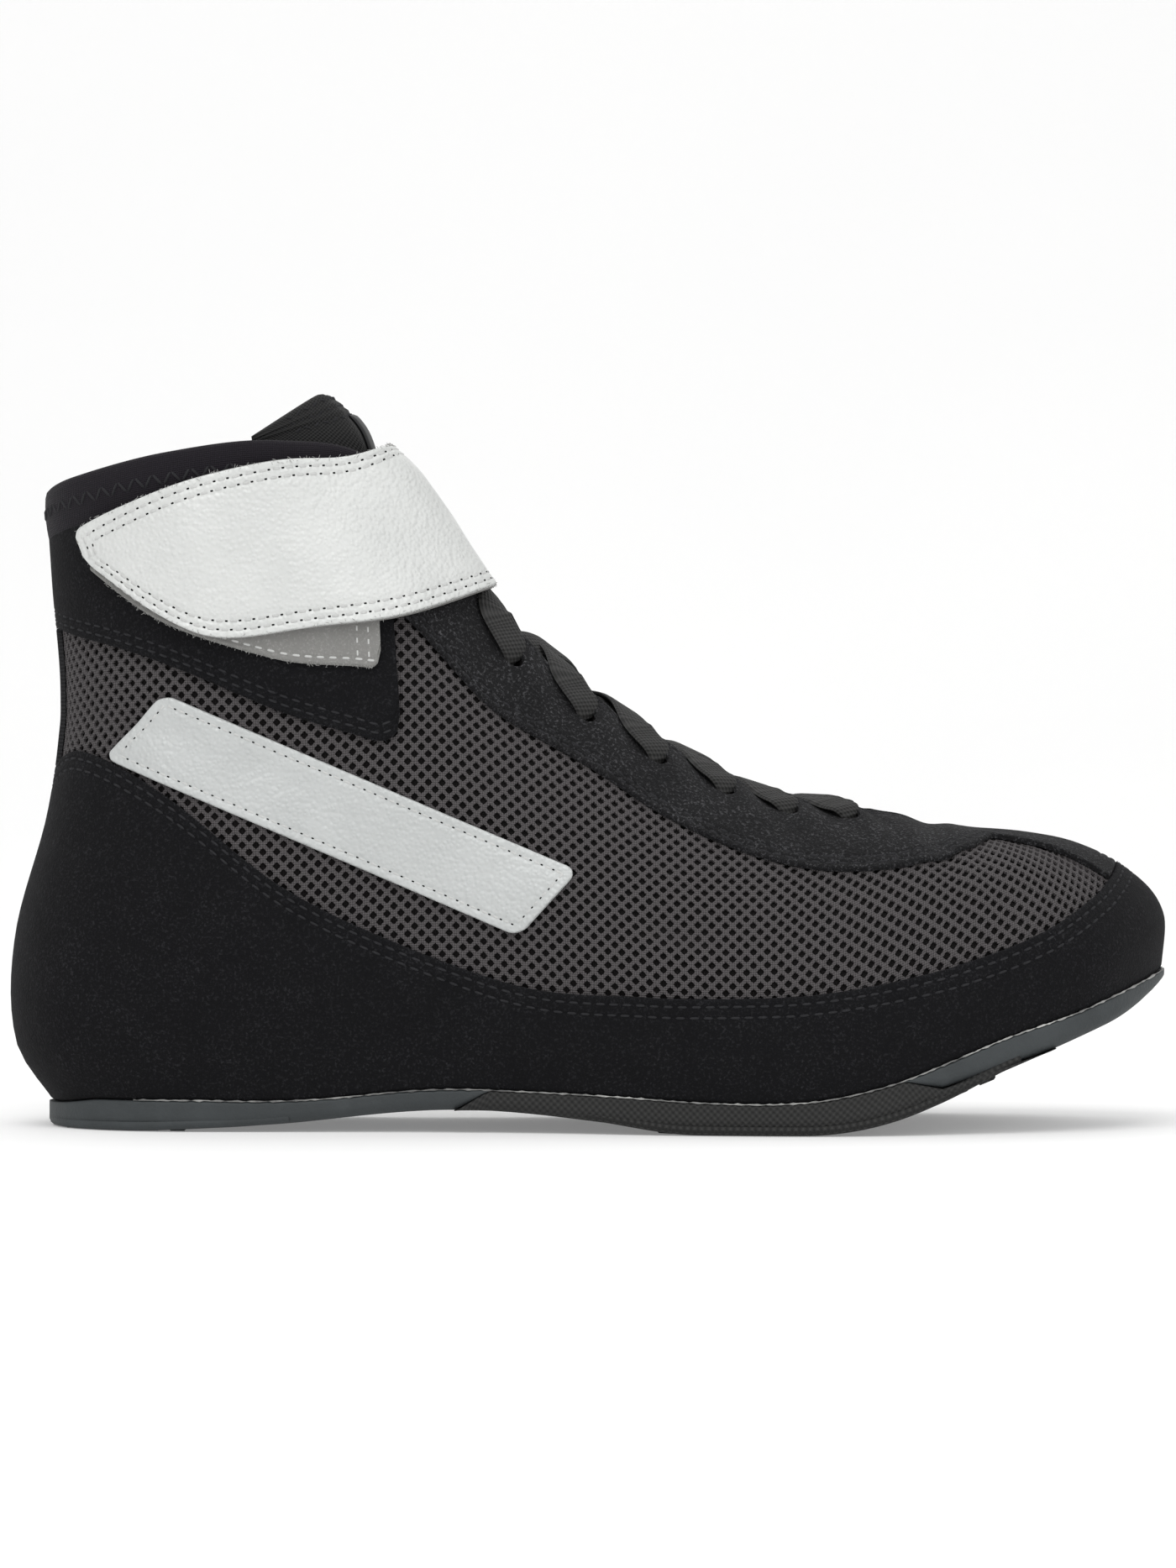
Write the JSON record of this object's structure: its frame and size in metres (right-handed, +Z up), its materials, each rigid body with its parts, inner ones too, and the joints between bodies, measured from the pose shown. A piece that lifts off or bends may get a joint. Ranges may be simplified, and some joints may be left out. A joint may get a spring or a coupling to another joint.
{
  "type": "wrestling shoe",
  "caption": "High-top wrestling shoe, right foot: hollow mesh and suede upper, thin split rubber sole with toe spring, flat laces, silver ankle strap over a loop patch.",
  "frame": {"origin": "middle of the shoe's outline on the plane that it stands on", "axes": "+X runs to the toe, +Y to the inner side of the right foot, +Z up"},
  "size_m": [0.2806, 0.0988, 0.1777],
  "materials": {
    "mesh": "open sandwich mesh with diamond holes",
    "suede": "soft black suede with a raised nap",
    "webbing": "smooth woven webbing",
    "binding": "brushed stretch binding with zigzag seam",
    "tongue_fabric": "ribbed knit over foam",
    "insole_cloth": "matt brushed cloth",
    "silver_leather": "grained silver metallic coat",
    "loop_fabric": "brushed grey loop",
    "slate_rubber": "satin moulded rubber",
    "black_rubber": "textured moulded rubber",
    "lace": "flat woven lace"
  },
  "bodies": {
    "root": {"upper": "mesh", "rand": "suede", "ankle_panel": "suede", "eyestay": "suede", "back_stay": "webbing", "collar": "binding", "tongue": "tongue_fabric", "insole": "insole_cloth", "strap": "silver_leather", "side_bar_outer": "silver_leather", "side_bar_inner": "silver_leather", "loop_patch": "loop_fabric", "heel_sole": "slate_rubber", "toe_sole": "slate_rubber", "tread_sole": "black_rubber", "lace_cross_1": "lace", "lace_cross_2": "lace", "lace_cross_3": "lace", "lace_cross_4": "lace", "lace_cross_5": "lace", "lace_cross_6": "lace"}
  },
  "joints": []
}
